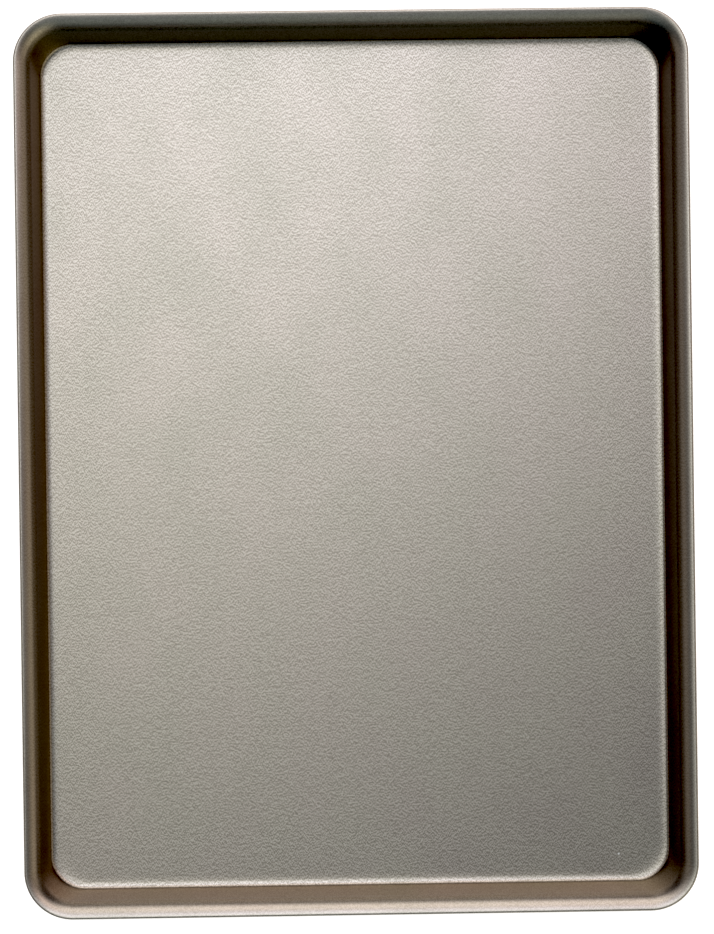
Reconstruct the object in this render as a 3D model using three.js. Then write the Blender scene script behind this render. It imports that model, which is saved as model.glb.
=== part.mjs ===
// Rectangular pizza pan: one sheet of coated steel, pressed into a shallow tray whose rim is rolled over
// a stiffening wire. Millimetres, +Z up. The origin is the middle of the floor's underside, +Y runs
// along the long side.
import * as THREE from "three";

// Driving dimensions of the pan
const RIM_WIDTH = 300; // over the rolled rim, along X
const RIM_LENGTH = 402; // over the rolled rim, along Y
const PAN_HEIGHT = 22; // from the floor's underside to the top of the rim
const RIM_CORNER = 21; // plan radius of the rim's outer corners
const FLOOR_CORNER = 18; // plan radius of the flat floor's corners
const SHEET = 0.8; // thickness of the sheet
const WALL_DRAFT = THREE.MathUtils.degToRad(10); // lean of the wall from the vertical
const EASE_ANGLE = THREE.MathUtils.degToRad(14); // slope that the floor has reached where it meets the bend
const LIP_ANGLE = THREE.MathUtils.degToRad(11); // slope that the lip still has where it meets the fold

// Inside radii of the bends in the sheet
const FLOOR_EASE = 9.5; // gentle rise of the floor beside the bend
const FLOOR_BEND = 1.6; // floor to wall
const LIP_BEND = 7; // wall to rim, under the lip
const FOLD_BEND = 0.1; // tight fold at the rim's outer edge

// Rim wire and the room round it
const WIRE_DIAMETER = 3;
const WIRE_CLEARANCE = 0.3; // between the wire and the sheet round it
const WIRE_END_GAP = 1; // between the butted ends of the wire
const SEAM_GAP = 0.5; // between the curled edge of the sheet and the underside of the lip

// Facets of the round stretches
const CORNER_FACETS = 8;
const EASE_FACETS = 2;
const BEND_FACETS = 5;
const CREST_FACETS = 1;
const FOLD_FACETS = 4;
const CURL_FACETS = 8;
const WIRE_FACETS = 8;

// The rim's section, measured inwards from its outer edge and upwards
const wallSlope = Math.PI / 2 - WALL_DRAFT;
const lipOutside = LIP_BEND + SHEET;
const foldOutside = FOLD_BEND + SHEET;
const wireSeat = WIRE_DIAMETER / 2 + WIRE_CLEARANCE;
const curlOutside = wireSeat + SHEET;
const foldToLipCentre = lipOutside - foldOutside;
const lipCentre = new THREE.Vector2(
  foldOutside - foldToLipCentre * Math.sin(LIP_ANGLE),
  PAN_HEIGHT - foldOutside - foldToLipCentre * Math.cos(LIP_ANGLE)
);

// The wire lies against the skirt and the underside of the lip
const wireReach = LIP_BEND - wireSeat;
const wireFromLipCentre = new THREE.Vector2(curlOutside - lipCentre.x, 0);
wireFromLipCentre.y = Math.sqrt(wireReach ** 2 - wireFromLipCentre.x ** 2);
const wireInset = curlOutside;
const wireHeight = lipCentre.y + wireFromLipCentre.y;

// The curl goes on round the wire until its edge is one seam gap from the underside of the lip
const edgeReach = LIP_BEND - SEAM_GAP;
const edgeTurn = Math.acos((edgeReach ** 2 - wireReach ** 2 - curlOutside ** 2) / (2 * wireReach * curlOutside));
const curlAngle = Math.PI + wireFromLipCentre.angle() - edgeTurn;

// Lengths that join the bends
const easeRise = FLOOR_EASE * (1 - Math.cos(EASE_ANGLE));
const bendRise = FLOOR_BEND * (Math.cos(EASE_ANGLE) - Math.cos(wallSlope));
const lipDrop = PAN_HEIGHT - lipCentre.y - lipOutside * Math.cos(wallSlope);
const wallLength = (PAN_HEIGHT - SHEET - easeRise - bendRise - lipDrop) / Math.sin(wallSlope);
const skirtLength = PAN_HEIGHT - foldOutside - wireHeight;

// Walks the sheet's section outwards from the edge of the flat floor, and keeps a point on each face
class SheetWalk {
  constructor() {
    this.place = new THREE.Vector2(0, SHEET);
    this.heading = 0;
    this.insideFace = [];
    this.outsideFace = [];
    this.mark();
  }

  normal() {
    return new THREE.Vector2(-Math.sin(this.heading), Math.cos(this.heading));
  }

  mark() {
    this.insideFace.push(this.place.clone());
    this.outsideFace.push(this.place.clone().addScaledVector(this.normal(), -SHEET));
  }

  straight(length) {
    this.place.x += length * Math.cos(this.heading);
    this.place.y += length * Math.sin(this.heading);
    this.mark();
  }

  // A bend upwards has its centre on the inside face, a bend downwards on the outside face
  bend(insideRadius, angle, facets) {
    const reach = angle > 0 ? insideRadius : -(insideRadius + SHEET);
    const centre = this.place.clone().addScaledVector(this.normal(), reach);
    for (let facet = 0; facet < facets; facet += 1) {
      this.heading += angle / facets;
      this.place = centre.clone().addScaledVector(this.normal(), -reach);
      this.mark();
    }
  }
}

const sheet = new SheetWalk();
sheet.bend(FLOOR_EASE, EASE_ANGLE, EASE_FACETS);
sheet.bend(FLOOR_BEND, wallSlope - EASE_ANGLE, BEND_FACETS);
sheet.straight(wallLength);
const lipStart = sheet.place.x;
sheet.bend(LIP_BEND, LIP_ANGLE - wallSlope, BEND_FACETS);
sheet.bend(FOLD_BEND, -LIP_ANGLE, CREST_FACETS);
sheet.bend(FOLD_BEND, -Math.PI / 2, FOLD_FACETS);
const rimEdge = sheet.place.x;
sheet.straight(skirtLength);
sheet.bend(wireSeat, -curlAngle, CURL_FACETS);

// In plan the wall's corners tighten evenly from the floor to the lip, and the rim goes round outside them
const wallCorner = RIM_CORNER - (rimEdge - lipStart);

function sectionRow(insidePoint, facePoint) {
  const upWall = Math.min(1, insidePoint.x / lipStart);
  const pastWall = Math.max(0, insidePoint.x - lipStart);
  const insideCorner = THREE.MathUtils.lerp(FLOOR_CORNER, wallCorner, upWall) + pastWall;
  return {
    inset: rimEdge - facePoint.x,
    corner: insideCorner + facePoint.x - insidePoint.x,
    z: facePoint.y,
  };
}

const insideRows = sheet.insideFace.map((point) => sectionRow(point, point));
const outsideRows = sheet.outsideFace.map((point, i) => sectionRow(sheet.insideFace[i], point));

// A station is one place round the pan: it puts a row of the section at its point in space
function cornerStation(sideX, sideY, angle) {
  return (row) => {
    const centreX = sideX * (RIM_WIDTH / 2 - row.inset - row.corner);
    const centreY = sideY * (RIM_LENGTH / 2 - row.inset - row.corner);
    const outX = row.corner * Math.cos(angle);
    const outY = row.corner * Math.sin(angle);
    return new THREE.Vector3(centreX + outX, centreY + outY, row.z);
  };
}

function nearSideStation(x) {
  return (row) => new THREE.Vector3(x, row.inset - RIM_LENGTH / 2, row.z);
}

// Counter-clockwise round the four corners, from the right end of the side at -Y
const stations = [
  [1, -1],
  [1, 1],
  [-1, 1],
  [-1, -1],
].flatMap(([sideX, sideY], quarter) =>
  Array.from({ length: CORNER_FACETS + 1 }, (_, facet) => {
    const turn = quarter - 1 + facet / CORNER_FACETS;
    return cornerStation(sideX, sideY, (turn * Math.PI) / 2);
  })
);

// Closed body through a row of closed loops of equal count, with a flat face over the first and the last
function loft(loops) {
  const count = loops[0].length;
  const triangles = [];
  for (let k = 1; k < count - 1; k += 1) {
    const last = (loops.length - 1) * count;
    triangles.push(0, k, k + 1);
    triangles.push(last, last + k + 1, last + k);
  }
  for (let row = 0; row < loops.length - 1; row += 1) {
    for (let k = 0; k < count; k += 1) {
      const here = row * count + k;
      const next = row * count + ((k + 1) % count);
      triangles.push(here, here + count, next + count);
      triangles.push(here, next + count, next);
    }
  }
  const geometry = new THREE.BufferGeometry().setFromPoints(loops.flat());
  geometry.setIndex(triangles);
  geometry.computeVertexNormals();
  return geometry;
}

// The pressed sheet: over its inside face from the floor to the curled edge, and back along its outside
function makePanShell() {
  const rows = [...insideRows, ...outsideRows.toReversed()];
  const geometry = loft(rows.map((row) => stations.map((place) => place(row))));
  const coating = new THREE.MeshStandardMaterial({ color: 0x9d968b, roughness: 0.4, metalness: 0.85 });
  const mesh = new THREE.Mesh(geometry, coating);
  mesh.name = "pan_shell";
  return mesh;
}

// The wire in the rolled rim, cut through in the middle of the side at -Y where its ends meet
function makeRimWire() {
  const rows = Array.from({ length: WIRE_FACETS }, (_, facet) => {
    const angle = (facet / WIRE_FACETS) * 2 * Math.PI;
    const inset = wireInset - (WIRE_DIAMETER / 2) * Math.cos(angle);
    const z = wireHeight + (WIRE_DIAMETER / 2) * Math.sin(angle);
    return { inset, corner: RIM_CORNER - inset, z };
  });
  const route = [nearSideStation(WIRE_END_GAP / 2), ...stations, nearSideStation(-WIRE_END_GAP / 2)];
  const geometry = loft(route.map((place) => rows.map((row) => place(row))));
  const steel = new THREE.MeshStandardMaterial({ color: 0xb4b6b8, roughness: 0.35, metalness: 1 });
  const mesh = new THREE.Mesh(geometry, steel);
  mesh.name = "rim_wire";
  return mesh;
}

const pan = new THREE.Group();
pan.name = "rectangular_pizza_pan";
pan.add(makePanShell());
pan.add(makeRimWire());

export default pan;
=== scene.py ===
from math import acos, atan2, cos, pi, radians, sin, sqrt

import bpy
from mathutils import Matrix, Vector


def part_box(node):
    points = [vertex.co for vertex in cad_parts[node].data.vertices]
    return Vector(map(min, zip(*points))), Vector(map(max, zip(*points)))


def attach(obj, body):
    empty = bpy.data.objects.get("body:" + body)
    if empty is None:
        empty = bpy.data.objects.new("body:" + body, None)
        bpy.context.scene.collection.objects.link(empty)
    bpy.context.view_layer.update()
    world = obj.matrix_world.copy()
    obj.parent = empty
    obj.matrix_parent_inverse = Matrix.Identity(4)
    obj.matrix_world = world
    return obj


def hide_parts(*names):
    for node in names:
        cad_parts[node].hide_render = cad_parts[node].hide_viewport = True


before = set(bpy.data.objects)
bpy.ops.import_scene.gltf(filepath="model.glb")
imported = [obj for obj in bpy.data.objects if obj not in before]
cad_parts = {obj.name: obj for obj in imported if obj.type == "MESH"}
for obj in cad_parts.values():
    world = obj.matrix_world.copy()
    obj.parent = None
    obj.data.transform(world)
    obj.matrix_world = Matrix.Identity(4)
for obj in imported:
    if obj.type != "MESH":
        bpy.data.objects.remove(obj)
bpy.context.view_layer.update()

# Pan
# One sheet of steel, pressed into a shallow tray and coated all over. The wall leans outward from the flat
# floor, and the lip at its top is rolled over, folded down and curled in underneath to hold the rim wire.
rim_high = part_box("pan_shell")[1]

# Sizes in metres; the size of a bend is its inside radius. Beside the wall the floor first springs up very
# gently, then eases up more, and then bends into the wall.
sheet = 0.0008
wall_draft = radians(10)
floor_spring = 0.05
spring_angle = radians(2.5)
floor_ease = 0.0095
ease_angle = radians(14)
floor_bend = 0.0016
lip_bend = 0.007
lip_angle = radians(11)
fold_bend = 0.0001
rim_corner = 0.021
floor_corner = 0.018
wire_diameter = 0.003
wire_clearance = 0.0003
seam_gap = 0.0005
floor_border = 0.005
corner_segments = 20
gentle_steps = 6
floor_bend_steps = 12
lip_steps = 16
crest_steps = 1
fold_steps = 8
curl_steps = 16

wall_slope = pi / 2 - wall_draft
lip_outside = lip_bend + sheet
fold_outside = fold_bend + sheet
wire_seat = wire_diameter / 2 + wire_clearance
curl_outside = wire_seat + sheet
lip_centre_inset = fold_outside - (lip_outside - fold_outside) * sin(lip_angle)
lip_centre_height = rim_high.z - fold_outside - (lip_outside - fold_outside) * cos(lip_angle)
wire_reach = lip_bend - wire_seat
wire_across = curl_outside - lip_centre_inset
wire_above = sqrt(wire_reach ** 2 - wire_across ** 2)
wire_height = lip_centre_height + wire_above
edge_reach = lip_bend - seam_gap
edge_turn = acos((edge_reach ** 2 - wire_reach ** 2 - curl_outside ** 2) / (2 * wire_reach * curl_outside))
curl_angle = pi + atan2(wire_above, wire_across) - edge_turn
spring_rise = floor_spring * (1 - cos(spring_angle))
ease_rise = floor_ease * (cos(spring_angle) - cos(ease_angle))
bend_rise = floor_bend * (cos(ease_angle) - cos(wall_slope))
lip_drop = rim_high.z - lip_centre_height - lip_outside * cos(wall_slope)
floor_rise = spring_rise + ease_rise + bend_rise
wall_length = (rim_high.z - sheet - floor_rise - lip_drop) / sin(wall_slope)
skirt_length = rim_high.z - fold_outside - wire_height


def bend_moves(radius, start, end, count):
    """Outward and upward moves of the sheet's upper face round one bend, from one heading to the next."""
    turn = 1 if end > start else -1
    headings = [start + (end - start) * i / count for i in range(count + 1)]
    moves = []
    for here, there in zip(headings, headings[1:]):
        moves.append((turn * radius * (sin(there) - sin(here)), turn * radius * (cos(here) - cos(there))))
    return moves


floor_to_wall = bend_moves(floor_spring, 0, spring_angle, gentle_steps)
floor_to_wall += bend_moves(floor_ease, spring_angle, ease_angle, gentle_steps)
floor_to_wall += bend_moves(floor_bend, ease_angle, wall_slope, floor_bend_steps)
wall = [(wall_length * cos(wall_slope), wall_length * sin(wall_slope))]
lip = bend_moves(lip_outside, wall_slope, lip_angle, lip_steps)
fold = bend_moves(fold_outside, lip_angle, 0, crest_steps)
fold += bend_moves(fold_outside, 0, -pi / 2, fold_steps)
skirt = [(0, -skirt_length)]
curl = bend_moves(curl_outside, -pi / 2, -pi / 2 - curl_angle, curl_steps)

wall_moves = floor_to_wall + wall
rim_moves = lip + fold + skirt + curl
wall_run = sum(outward for outward, up in wall_moves)
lip_run = sum(outward for outward, up in lip + fold)
floor_half = Vector((rim_high.x - wall_run - lip_run, rim_high.y - wall_run - lip_run))

# The wall's corners tighten from the floor to the lip. Each step outward also stretches them a little,
# and the tightening makes up for that.
wall_corner = rim_corner - lip_run
plain_tightening = (floor_corner - wall_corner) / wall_run
corner_spread = 1 + (1 + plain_tightening) * wall_run / floor_half.y
tightening = (floor_corner - wall_corner / corner_spread) / wall_run

# The floor is drawn out from a square that reaches 1 from its middle
bpy.ops.object.select_all(action="DESELECT")
bpy.ops.mesh.primitive_plane_add(size=2, location=(0, 0, 0))
pan = bpy.context.object
pan.name = "pan"
bpy.ops.object.mode_set(mode="EDIT")
bpy.ops.transform.resize(value=(floor_half.x, floor_half.y, 1))
bpy.ops.transform.translate(value=(0, 0, sheet))
bpy.ops.mesh.bevel(offset=floor_corner, segments=corner_segments, affect="VERTICES")
bpy.ops.mesh.select_all(action="SELECT")
bpy.ops.mesh.inset(thickness=floor_border)
bpy.ops.mesh.select_mode(type="EDGE")
bpy.ops.mesh.select_all(action="DESELECT")
bpy.ops.mesh.select_non_manifold(
    extend=False, use_wire=False, use_multi_face=False, use_non_contiguous=False, use_verts=False
)

# Each new strip stands upright by this much at first, so that its edge moves squarely outward
lift = 0.001


def pull_edge(half, outward, up, rounding):
    """Draws the sheet's open edge on by one step; rounding is the share that the corners' radius gains."""
    bpy.ops.mesh.extrude_edges_move(TRANSFORM_OT_translate={"value": (0, 0, lift)})
    widened = outward * rounding
    if widened:
        bpy.ops.transform.shrink_fatten(value=-widened, use_even_offset=True)
    wider_half = half + Vector((outward, outward))
    spread_x = wider_half.x / (half.x + widened)
    spread_y = wider_half.y / (half.y + widened)
    bpy.ops.transform.resize(value=(spread_x, spread_y, 1), center_override=(0, 0, 0))
    bpy.ops.transform.translate(value=(0, 0, up - lift))
    return wider_half


edge_half = floor_half
for outward, up in wall_moves:
    edge_half = pull_edge(edge_half, outward, up, -tightening)
for outward, up in rim_moves:
    edge_half = pull_edge(edge_half, outward, up, 1)
bpy.ops.object.mode_set(mode="OBJECT")

gauge = pan.modifiers.new("sheet gauge", "SOLIDIFY")
gauge.thickness = sheet
gauge.offset = -1
gauge.use_even_offset = True
bpy.ops.object.modifier_apply(modifier=gauge.name)
smooth_below = radians(40)
bpy.ops.object.shade_smooth_by_angle(angle=smooth_below)

# The grain of a metal finish: a noise that can be stretched, as a height and as a tone round the middle
middle_tone = 0.5
grain_group = bpy.data.node_groups.new("metal_grain", "ShaderNodeTree")
grain_group.interface.new_socket("Per Metre", in_out="INPUT", socket_type="NodeSocketVector")
grain_group.interface.new_socket("Shift", in_out="INPUT", socket_type="NodeSocketVector")
grain_group.interface.new_socket("Contrast", in_out="INPUT", socket_type="NodeSocketFloat")
grain_group.interface.new_socket("Tone", in_out="OUTPUT", socket_type="NodeSocketFloat")
grain_group.interface.new_socket("Height", in_out="OUTPUT", socket_type="NodeSocketFloat")
group_in = grain_group.nodes.new("NodeGroupInput")
group_out = grain_group.nodes.new("NodeGroupOutput")
place = grain_group.nodes.new("ShaderNodeTexCoord")
stretch = grain_group.nodes.new("ShaderNodeVectorMath")
stretch.operation = "MULTIPLY_ADD"
speckle = grain_group.nodes.new("ShaderNodeTexNoise")
speckle.inputs["Scale"].default_value = 1
speckle.inputs["Detail"].default_value = 1
speckle.inputs["Roughness"].default_value = 0.6
centred = grain_group.nodes.new("ShaderNodeMath")
centred.operation = "SUBTRACT"
centred.inputs[1].default_value = middle_tone
tone = grain_group.nodes.new("ShaderNodeMath")
tone.operation = "MULTIPLY_ADD"
tone.inputs[2].default_value = middle_tone
tone.use_clamp = True
grain_links = grain_group.links
grain_links.new(place.outputs["Object"], stretch.inputs[0])
grain_links.new(group_in.outputs["Per Metre"], stretch.inputs[1])
grain_links.new(group_in.outputs["Shift"], stretch.inputs[2])
grain_links.new(stretch.outputs["Vector"], speckle.inputs["Vector"])
grain_links.new(speckle.outputs["Fac"], centred.inputs[0])
grain_links.new(centred.outputs["Value"], tone.inputs[0])
grain_links.new(group_in.outputs["Contrast"], tone.inputs[1])
grain_links.new(tone.outputs["Value"], group_out.inputs["Tone"])
grain_links.new(speckle.outputs["Fac"], group_out.inputs["Height"])


def add_grain(nodes, per_metre, contrast=1.0, shift=(0, 0, 0)):
    """One layer of grain in a material, at its own scale; the shift is in widths of one grain."""
    layer = nodes.new("ShaderNodeGroup")
    layer.node_tree = grain_group
    layer.inputs["Per Metre"].default_value = per_metre
    layer.inputs["Contrast"].default_value = contrast
    layer.inputs["Shift"].default_value = shift
    return layer


def add_colour_mix(nodes, links, factor, first, second, blend="MIX"):
    """A mix of two colours; each may be a colour or the output of another node."""
    mix = nodes.new("ShaderNodeMix")
    mix.data_type = "RGBA"
    mix.blend_type = blend
    links.new(factor, mix.inputs["Factor"])
    for name, colour in (("A", first), ("B", second)):
        socket = next(s for s in mix.inputs if s.name == name and s.type == "RGBA")
        if isinstance(colour, tuple):
            socket.default_value = colour
        else:
            links.new(colour, socket)
    return next(s for s in mix.outputs if s.type == "RGBA")


def add_range(nodes, links, value, from_low, from_high, to_low, to_high):
    """The value carried over from one range to another and held at its ends."""
    carried = nodes.new("ShaderNodeMapRange")
    carried.inputs["From Min"].default_value = from_low
    carried.inputs["From Max"].default_value = from_high
    carried.inputs["To Min"].default_value = to_low
    carried.inputs["To Max"].default_value = to_high
    links.new(value, carried.inputs["Value"])
    return carried.outputs["Result"]


# Colours of the coat: painted shade and painted light on the far and the lit side of its grain's bumps,
# where it is warmer and where it is cooler, a painted reflection tint on the walls, a painted highlight along
# the rim's top, and bare steel where the coat is gone
warm_shaded_side = (0.246, 0.222, 0.191, 1)
warm_lit_side = (0.439, 0.405, 0.363, 1)
cool_shaded_side = (0.242, 0.224, 0.188, 1)
cool_lit_side = (0.433, 0.409, 0.359, 1)
wall_reflection_tint = (0.98, 0.91, 0.82, 1)
rim_highlight_colour = (0.50, 0.47, 0.42, 1)
bare_steel = (0.75, 0.74, 0.72, 1)

# How fine its grain is, and how strong
spray_per_metre = (2200, 1600, 1600)
spray_shift = (0, 1.2, 0)
flakes_per_metre = 2800
flake_span = 0.25
mottle_per_metre = (30, 20, 40)
mottle_contrast = 3.0
highlight_patches_per_metre = (60, 60, 60)
highlight_patch_contrast = 1.6
rim_highlight_most = 0.25
drawn_grain = 0.5
satin_smooth = 0.28
satin_rough = 0.31
wave_height = 0.00003
pebble_height = 0.000004

# Where the walls and the lip begin, as heights above the table, how far down the rim's painted highlight
# reaches, and the nick
drawn_from = 0.0012
wall_from = 0.0015
wall_full = 0.003
wall_to = 0.014
lip_from = 0.018
rim_highlight_band = 0.0025
nick_place = (0.1173, -0.1792, sheet)
nick_radius = 0.0006

coat = bpy.data.materials.new("champagne_baking_coat")
coat.use_nodes = True
coat_nodes = coat.node_tree.nodes
coat_links = coat.node_tree.links
coat_shader = coat_nodes["Principled BSDF"]
coat_shader.inputs["Metallic"].default_value = 1.0

spray = add_grain(coat_nodes, spray_per_metre)
spray_beside = add_grain(coat_nodes, spray_per_metre, shift=spray_shift)
mottle = add_grain(coat_nodes, mottle_per_metre, mottle_contrast)
highlight_patches = add_grain(coat_nodes, highlight_patches_per_metre, highlight_patch_contrast)

# The top of the rim is painted paler in patches: a painted highlight where the light catches its rolled fold
where = coat_nodes.new("ShaderNodeTexCoord")
height = coat_nodes.new("ShaderNodeSeparateXYZ")
coat_links.new(where.outputs["Object"], height.inputs["Vector"])
rim_highlight_low = rim_high.z - rim_highlight_band
rim_top_band = add_range(coat_nodes, coat_links, height.outputs["Z"], rim_highlight_low, rim_high.z, 0, rim_highlight_most)
painted_rim_highlight = coat_nodes.new("ShaderNodeMath")
painted_rim_highlight.operation = "MULTIPLY"
coat_links.new(rim_top_band, painted_rim_highlight.inputs[0])
coat_links.new(highlight_patches.outputs["Tone"], painted_rim_highlight.inputs[1])

# One tiny nick in the floor goes through to the steel
from_nick = coat_nodes.new("ShaderNodeVectorMath")
from_nick.operation = "DISTANCE"
from_nick.inputs[1].default_value = nick_place
coat_links.new(where.outputs["Object"], from_nick.inputs[0])
nick = add_range(coat_nodes, coat_links, from_nick.outputs["Value"], nick_radius / 2, nick_radius, 1, 0)

# The grain is painted light and shade: the side of each bump in the spray that faces the light is painted
# paler and the far side darker, with a tone of its own for each metal flake
painted_bump_shade = coat_nodes.new("ShaderNodeMath")
painted_bump_shade.operation = "SUBTRACT"
coat_links.new(spray.outputs["Height"], painted_bump_shade.inputs[0])
coat_links.new(spray_beside.outputs["Height"], painted_bump_shade.inputs[1])
flakes = coat_nodes.new("ShaderNodeTexVoronoi")
flakes.inputs["Scale"].default_value = flakes_per_metre
coat_links.new(where.outputs["Object"], flakes.inputs["Vector"])
flake_tone = coat_nodes.new("ShaderNodeSeparateColor")
coat_links.new(flakes.outputs["Color"], flake_tone.inputs["Color"])
flakes_and_bump_shade = coat_nodes.new("ShaderNodeMath")
flakes_and_bump_shade.operation = "MULTIPLY_ADD"
flakes_and_bump_shade.inputs[1].default_value = flake_span
coat_links.new(flake_tone.outputs["Red"], flakes_and_bump_shade.inputs[0])
coat_links.new(painted_bump_shade.outputs["Value"], flakes_and_bump_shade.inputs[2])
flakes_and_bump_shade_tone = add_range(coat_nodes, coat_links, flakes_and_bump_shade.outputs["Value"], 0, flake_span, 0, 1)

# Pressing has drawn the walls and the rim smoother, so that the painted light and shade of their grain is
# weaker
drawn_smooth = add_range(coat_nodes, coat_links, height.outputs["Z"], drawn_from, wall_full, 1, drawn_grain)
from_middle = coat_nodes.new("ShaderNodeMath")
from_middle.operation = "SUBTRACT"
from_middle.inputs[1].default_value = middle_tone
coat_links.new(flakes_and_bump_shade_tone, from_middle.inputs[0])
evened = coat_nodes.new("ShaderNodeMath")
evened.operation = "MULTIPLY_ADD"
evened.inputs[2].default_value = middle_tone
coat_links.new(from_middle.outputs["Value"], evened.inputs[0])
coat_links.new(drawn_smooth, evened.inputs[1])
painted_lit_face = evened.outputs["Value"]
# The coat is mixed from its painted shade to its painted light by the lit side of each bump
warm_coat = add_colour_mix(coat_nodes, coat_links, painted_lit_face, warm_shaded_side, warm_lit_side)
cool_coat = add_colour_mix(coat_nodes, coat_links, painted_lit_face, cool_shaded_side, cool_lit_side)
grained = add_colour_mix(coat_nodes, coat_links, mottle.outputs["Tone"], warm_coat, cool_coat)

# The walls are painted a little browner: a painted reflection of the coat's own colour, which the walls show
# twice over where they mirror the floor
above_floor = add_range(coat_nodes, coat_links, height.outputs["Z"], wall_from, wall_full, 0, 1)
below_lip = add_range(coat_nodes, coat_links, height.outputs["Z"], wall_to, lip_from, 1, 0)
on_wall = coat_nodes.new("ShaderNodeMath")
on_wall.operation = "MULTIPLY"
coat_links.new(above_floor, on_wall.inputs[0])
coat_links.new(below_lip, on_wall.inputs[1])
reflection_tinted = add_colour_mix(
    coat_nodes, coat_links, on_wall.outputs["Value"], grained, wall_reflection_tint, blend="MULTIPLY"
)
# The rim's top is mixed toward the paler colour of its painted highlight
rim_highlighted = add_colour_mix(coat_nodes, coat_links, painted_rim_highlight.outputs["Value"], reflection_tinted, rim_highlight_colour)
nicked = add_colour_mix(coat_nodes, coat_links, nick, rim_highlighted, bare_steel)
coat_links.new(nicked, coat_shader.inputs["Base Color"])

# The mottling is also a little more and less matt, and very slightly wavy under the fine pebbles of the spray
satin = add_range(coat_nodes, coat_links, mottle.outputs["Tone"], 0, 1, satin_smooth, satin_rough)
coat_links.new(satin, coat_shader.inputs["Roughness"])
waves = coat_nodes.new("ShaderNodeBump")
waves.inputs["Distance"].default_value = wave_height
coat_links.new(mottle.outputs["Height"], waves.inputs["Height"])
pebbles = coat_nodes.new("ShaderNodeBump")
pebbles.inputs["Distance"].default_value = pebble_height
coat_links.new(spray.outputs["Height"], pebbles.inputs["Height"])
coat_links.new(waves.outputs["Normal"], pebbles.inputs["Normal"])
coat_links.new(pebbles.outputs["Normal"], coat_shader.inputs["Normal"])
pan.data.materials.append(coat)

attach(pan, "root")
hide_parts("pan_shell")

# Rim wire
# One length of drawn steel wire, bent to the rim's outline and butted end to end. It lies loose in the curl,
# which holds it, and only a line of it shows through the seam under the rim.
wire_sides = 16
wire_bend_steps = 12
wire_end_gap = 0.001
wire_inset = curl_outside
wire_corner = rim_corner - wire_inset
bend_x = rim_high.x - rim_corner
bend_y = rim_high.y - rim_corner
half_run = bend_x - wire_end_gap / 2
touching = 0.00001

bpy.ops.object.select_all(action="DESELECT")
bpy.ops.mesh.primitive_circle_add(vertices=wire_sides, radius=wire_diameter / 2)
wire = bpy.context.object
wire.name = "rim_stiffening_wire"
bpy.ops.object.mode_set(mode="EDIT")
bpy.ops.transform.rotate(value=pi / 2, orient_axis="Y", center_override=(0, 0, 0))
bpy.ops.transform.translate(value=(wire_end_gap / 2, -bend_y - wire_corner, wire_height))
for run, corner in (
    ((half_run, 0, 0), (bend_x, -bend_y, wire_height)),
    ((0, 2 * bend_y, 0), (bend_x, bend_y, wire_height)),
    ((-2 * bend_x, 0, 0), (-bend_x, bend_y, wire_height)),
    ((0, -2 * bend_y, 0), (-bend_x, -bend_y, wire_height)),
):
    bpy.ops.mesh.extrude_edges_move(TRANSFORM_OT_translate={"value": run})
    bpy.ops.mesh.spin(steps=wire_bend_steps, angle=pi / 2, center=corner, axis=(0, 0, -1))
bpy.ops.mesh.extrude_edges_move(TRANSFORM_OT_translate={"value": (half_run, 0, 0)})
bpy.ops.mesh.select_all(action="SELECT")
bpy.ops.mesh.remove_doubles(threshold=touching)
bpy.ops.mesh.fill_holes(sides=wire_sides)
bpy.ops.mesh.normals_make_consistent(inside=False)
bpy.ops.object.mode_set(mode="OBJECT")
bpy.ops.object.shade_smooth_by_angle(angle=smooth_below)

wire_dark = (0.45, 0.45, 0.46, 1)
wire_bright = (0.62, 0.63, 0.64, 1)
wire_dulled = (0.40, 0.38, 0.36, 1)
die_lines_per_metre = (40, 40, 9000)
dulling_per_metre = (120, 120, 300)
wire_contrast = 2.5
wire_smooth = 0.28
wire_rough = 0.45
score_depth = 0.00001

steel = bpy.data.materials.new("drawn_wire_steel")
steel.use_nodes = True
steel_nodes = steel.node_tree.nodes
steel_links = steel.node_tree.links
steel_shader = steel_nodes["Principled BSDF"]
steel_shader.inputs["Metallic"].default_value = 1.0
die_lines = add_grain(steel_nodes, die_lines_per_metre, wire_contrast)
dulling = add_grain(steel_nodes, dulling_per_metre, wire_contrast)
drawn = add_colour_mix(steel_nodes, steel_links, die_lines.outputs["Tone"], wire_dark, wire_bright)
dulled = add_colour_mix(steel_nodes, steel_links, dulling.outputs["Tone"], drawn, wire_dulled)
steel_links.new(dulled, steel_shader.inputs["Base Color"])
sheen = add_range(steel_nodes, steel_links, dulling.outputs["Tone"], 0, 1, wire_smooth, wire_rough)
steel_links.new(sheen, steel_shader.inputs["Roughness"])
scores = steel_nodes.new("ShaderNodeBump")
scores.inputs["Distance"].default_value = score_depth
steel_links.new(die_lines.outputs["Height"], scores.inputs["Height"])
steel_links.new(scores.outputs["Normal"], steel_shader.inputs["Normal"])
wire.data.materials.append(steel)

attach(wire, "root")
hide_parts("rim_wire")

# Table
# A plain white sheet that the pan lies on, larger than any view of it. It glows a little, as a sheet that is
# lit from below does, so that it stays white in the pan's own shadow.
table_width = 8
table_white = (0.8, 0.8, 0.8, 1)
table_glow = 0.75
table_roughness = 0.9

bpy.ops.object.select_all(action="DESELECT")
bpy.ops.mesh.primitive_plane_add(size=table_width, location=(0, 0, 0))
table = bpy.context.object
table.name = "table"
table_finish = bpy.data.materials.new("white_table")
table_finish.use_nodes = True
table_shader = table_finish.node_tree.nodes["Principled BSDF"]
table_shader.inputs["Base Color"].default_value = table_white
table_shader.inputs["Roughness"].default_value = table_roughness
table_shader.inputs["Emission Color"].default_value = (1, 1, 1, 1)
table_shader.inputs["Emission Strength"].default_value = table_glow
table.data.materials.append(table_finish)

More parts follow.
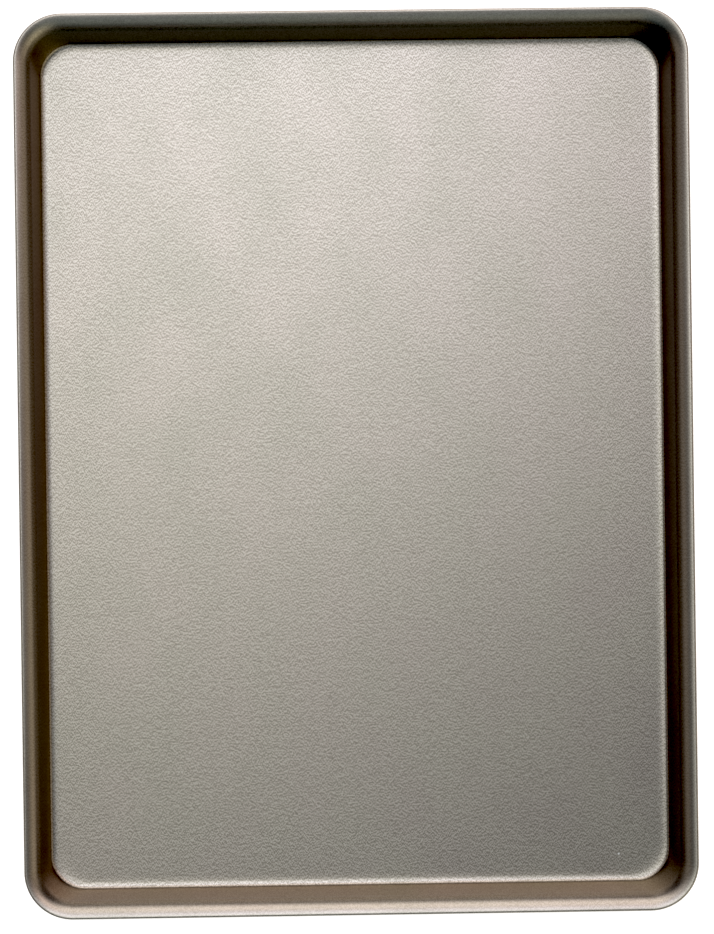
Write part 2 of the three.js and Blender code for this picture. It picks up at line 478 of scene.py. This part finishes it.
# Studio light
# Soft lights on a dark dome: a broad one overhead toward the far left, a tall one with two wings beyond the
# far side, and weak warm ones low round the rest of the room. The camera itself sees a plain pale backdrop.
world = bpy.data.worlds.new("soft_studio")
bpy.context.scene.world = world
world.use_nodes = True
dome_nodes = world.node_tree.nodes
dome_links = world.node_tree.links
dome_light = dome_nodes["Background"]
looking = dome_nodes.new("ShaderNodeTexCoord")

# Each light's angle round from +X and above the table in degrees, how tightly it is gathered, and its colour
dome_colour = None
for azimuth, elevation, tightness, colour in (
    (90, 79, 50, (1.8, 1.85, 1.8)),
    (180, 80, 40, (1.3, 1.3, 1.2)),
    (90, 70, 40, (1.6, 1.7, 2.2)),
    (270, 70, 40, (0.2, 0.2, 0.25)),
    (45, 50, 20, (1.7, 1.4, 1.3)),
    (135, 50, 20, (0.9, 0.85, 0.85)),
    (90, 32, 10, (2.5, 2.3, 2.2)),
    (270, 45, 5, (0.4, 0.45, 0.45)),
    (0, 20, 10, (0.6, 0.5, 0.4)),
    (180, 20, 10, (0.45, 0.4, 0.35)),
    (315, 15, 10, (0.95, 0.85, 0.6)),
):
    toward = (
        cos(radians(elevation)) * cos(radians(azimuth)),
        cos(radians(elevation)) * sin(radians(azimuth)),
        sin(radians(elevation)),
    )
    facing = dome_nodes.new("ShaderNodeVectorMath")
    facing.operation = "DOT_PRODUCT"
    facing.inputs[1].default_value = toward
    falling = dome_nodes.new("ShaderNodeMath")
    falling.operation = "MULTIPLY_ADD"
    falling.inputs[1].default_value = tightness
    falling.inputs[2].default_value = -tightness
    glow = dome_nodes.new("ShaderNodeMath")
    glow.operation = "EXPONENT"
    added = dome_nodes.new("ShaderNodeVectorMath")
    added.operation = "MULTIPLY_ADD"
    added.inputs[1].default_value = colour
    dome_links.new(looking.outputs["Generated"], facing.inputs[0])
    dome_links.new(facing.outputs["Value"], falling.inputs[0])
    dome_links.new(falling.outputs["Value"], glow.inputs[0])
    dome_links.new(glow.outputs["Value"], added.inputs[0])
    if dome_colour is None:
        added.inputs[2].default_value = (0, 0, 0)
    else:
        dome_links.new(dome_colour, added.inputs[2])
    dome_colour = added.outputs["Vector"]
dome_links.new(dome_colour, dome_light.inputs["Color"])

backdrop_grey = (0.9, 0.9, 0.9, 1)
backdrop = dome_nodes.new("ShaderNodeBackground")
backdrop.inputs["Color"].default_value = backdrop_grey
light_path = dome_nodes.new("ShaderNodeLightPath")
seen = dome_nodes.new("ShaderNodeMixShader")
dome_links.new(light_path.outputs["Is Camera Ray"], seen.inputs["Fac"])
dome_links.new(dome_light.outputs["Background"], seen.inputs[1])
dome_links.new(backdrop.outputs["Background"], seen.inputs[2])
dome_links.new(seen.outputs["Shader"], dome_nodes["World Output"].inputs["Surface"])

# Camera
# Almost straight above the pan, a little to the left of its middle, and leaning and turned as little as the
# photograph shows. The shift frames the pan as there, and the black level gives the same deep shadows.
photo_height = 934
camera_height = 0.935
pixels_per_metre = 2252.2
camera_lean = (radians(-0.176), radians(-0.517))
camera_turn = radians(-0.781)
camera_x = -0.025
camera_y = 0.001
frame_shift_x = 0.0404
frame_shift_y = 0.0010
deep_black = (0.045, 0.042, 0.035)

camera_place = (camera_x, camera_y, rim_high.z - fold_outside + camera_height)
bpy.ops.object.camera_add(location=camera_place, rotation=(*camera_lean, camera_turn))
camera = bpy.context.object
camera.data.lens = camera.data.sensor_width * pixels_per_metre * camera_height / photo_height
camera.data.shift_x = frame_shift_x
camera.data.shift_y = frame_shift_y
bpy.context.scene.camera = camera
tones = bpy.context.scene.view_settings
tones.view_transform = "Standard"
tones.use_curve_mapping = True
tones.curve_mapping.black_level = deep_black
tones.curve_mapping.update()
